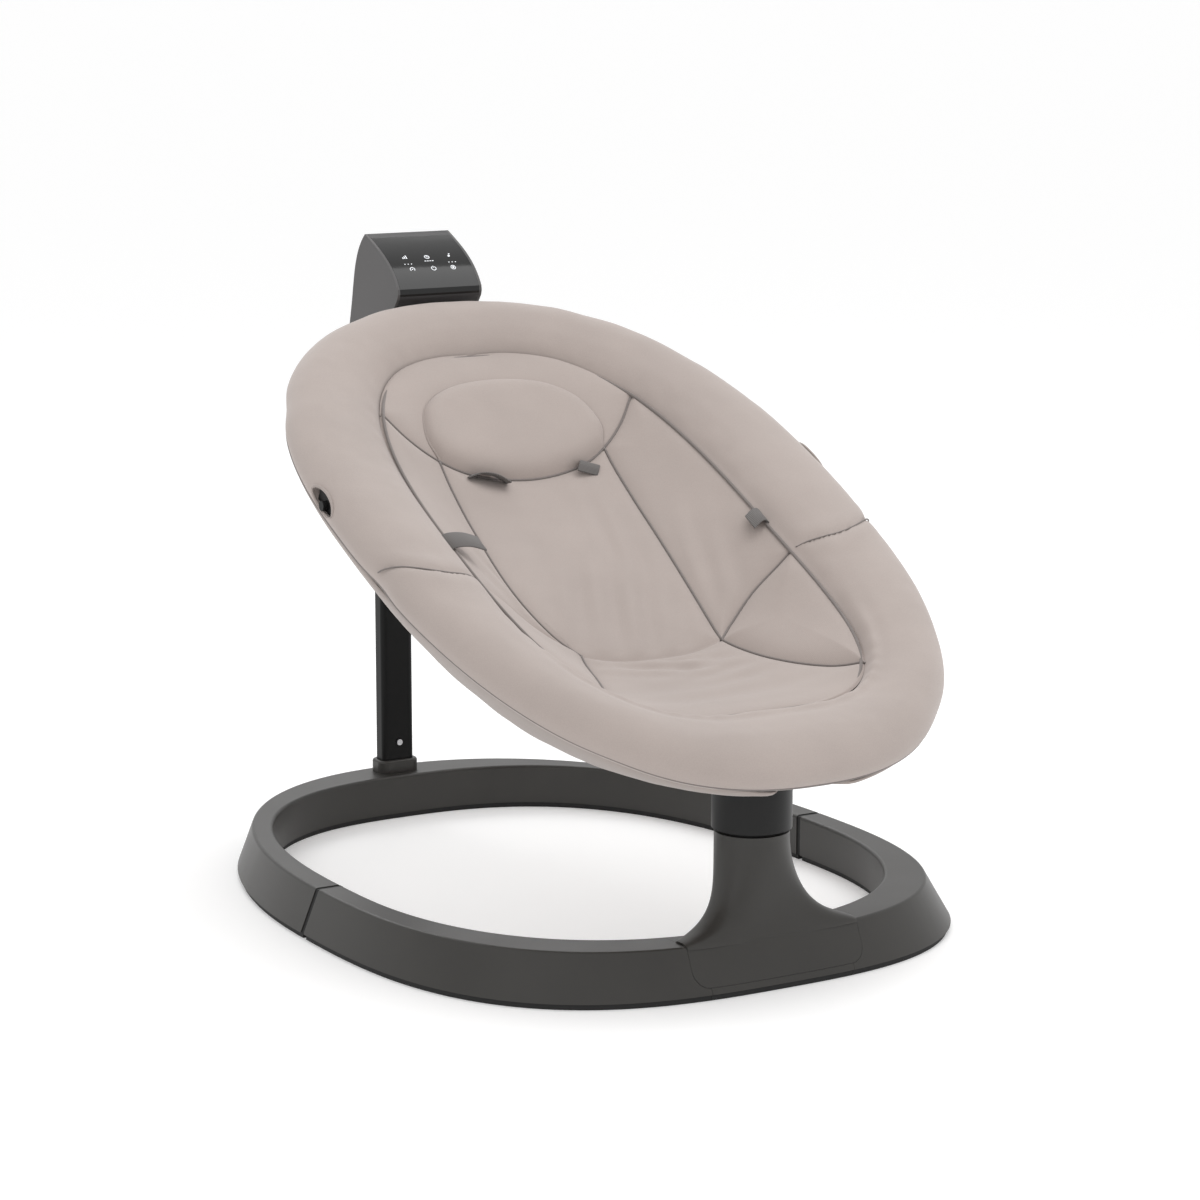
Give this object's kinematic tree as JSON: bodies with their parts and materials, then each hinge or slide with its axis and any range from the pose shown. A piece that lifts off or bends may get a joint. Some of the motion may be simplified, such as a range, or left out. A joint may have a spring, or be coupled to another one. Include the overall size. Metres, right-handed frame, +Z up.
{
  "type": "baby swing",
  "caption": "Electric baby swing with an oval padded seat that sways on a tilted axis between a rear drive post and a front pedestal on an oval floor ring.",
  "frame": {"origin": "centre of the box round the whole swing, on the floor", "axes": "+Z up, rear post and drive head at +Y, foot end of the seat at -Y, +X to the right seen from the foot end"},
  "size_m": [0.6422, 0.8937, 0.664],
  "materials": {
    "ring_plastic": "satin moulded plastic, dark warm grey",
    "inner_plastic": "black moulded plastic",
    "rubber": "matt rubber",
    "black_metal": "black powder coat",
    "steel": "plain steel",
    "head_plastic": "fine textured dark plastic",
    "gloss_panel": "glossy black touch surface",
    "gear_plastic": "natural acetal",
    "circuit_board": "solder mask",
    "speaker_cone": "paper cone in a frame",
    "seat_fabric": "soft woven polyester, greige",
    "webbing": "flat woven webbing, mid grey"
  },
  "bodies": {
    "base": {"base_screws": "steel", "control_board": "circuit_board", "dc_inlet": "inner_plastic", "drive_motor": "steel", "front_base_tray": "ring_plastic", "front_drum": "head_plastic", "front_foot_strip": "rubber", "front_joint_plugs": "inner_plastic", "front_pedestal": "ring_plastic", "front_pivot_pin": "steel", "front_pivot_yoke": "inner_plastic", "head_chassis": "inner_plastic", "head_left_cheek": "head_plastic", "head_rear_shell": "head_plastic", "head_right_cheek": "head_plastic", "left_base_segment": "ring_plastic", "left_foot_strip": "rubber", "post_collar": "ring_plastic", "post_screws": "steel", "post_socket": "inner_plastic", "post_stub": "steel", "rear_base_segment": "ring_plastic", "rear_bottom_cover": "inner_plastic", "rear_foot_strip": "rubber", "rear_joint_plugs": "inner_plastic", "rear_post": "black_metal", "right_base_segment": "ring_plastic", "right_foot_strip": "rubber", "side_bottom_covers": "inner_plastic", "speaker": "speaker_cone", "swing_bearings": "steel", "touch_panel": "gloss_panel"},
    "seat": {"upper_ring_tube": "black_metal", "lower_ring_tube": "black_metal", "left_ring_joint": "inner_plastic", "right_ring_joint": "inner_plastic", "rear_swing_hub": "inner_plastic", "front_swing_arm": "inner_plastic", "front_pivot_bush": "gear_plastic", "seat_screws": "steel", "rim_cover": "seat_fabric", "seat_sling": "seat_fabric", "seat_liner": "seat_fabric", "back_panel": "seat_fabric", "seat_panel": "seat_fabric", "headrest_pillow": "seat_fabric", "left_leg_bolster": "seat_fabric", "right_leg_bolster": "seat_fabric", "left_shoulder_strap": "webbing", "right_shoulder_strap": "webbing", "left_waist_strap": "webbing", "right_waist_strap": "webbing", "swing_shaft": "steel", "sector_gear": "gear_plastic"},
    "pinion": {"motor_pinion": "gear_plastic", "motor_shaft": "steel"},
    "snap_button": {"post_snap_button": "steel"},
    "left_button": {"left_ring_button": "inner_plastic"},
    "right_button": {"right_ring_button": "inner_plastic"}
  },
  "joints": [
    {"name": "swing", "type": "hinge", "parent": "base", "child": "seat", "pos_m": [0, -0.328, 0.18], "axis": [0, 0.866, 0.5], "range_deg": [-10, 10]},
    {"name": "pinion_spin", "type": "hinge", "parent": "base", "child": "pinion", "pos_m": [0, 0.29013, 0.58537], "axis": [0, 0.866, 0.5], "range_deg": [-31, 31]},
    {"name": "snap_press", "type": "slide", "parent": "base", "child": "snap_button", "axis": [0, 1, 0], "range_m": [0, 0.0025], "stiffness_N_per_m": 600},
    {"name": "left_release_press", "type": "slide", "parent": "seat", "child": "left_button", "axis": [1, 0, 0], "range_m": [0, 0.002], "stiffness_N_per_m": 600},
    {"name": "right_release_press", "type": "slide", "parent": "seat", "child": "right_button", "axis": [-1, 0, 0], "range_m": [0, 0.002], "stiffness_N_per_m": 600}
  ],
  "couplings": [
    {"joint": "pinion_spin", "follows": "swing", "ratio": -3}
  ]
}
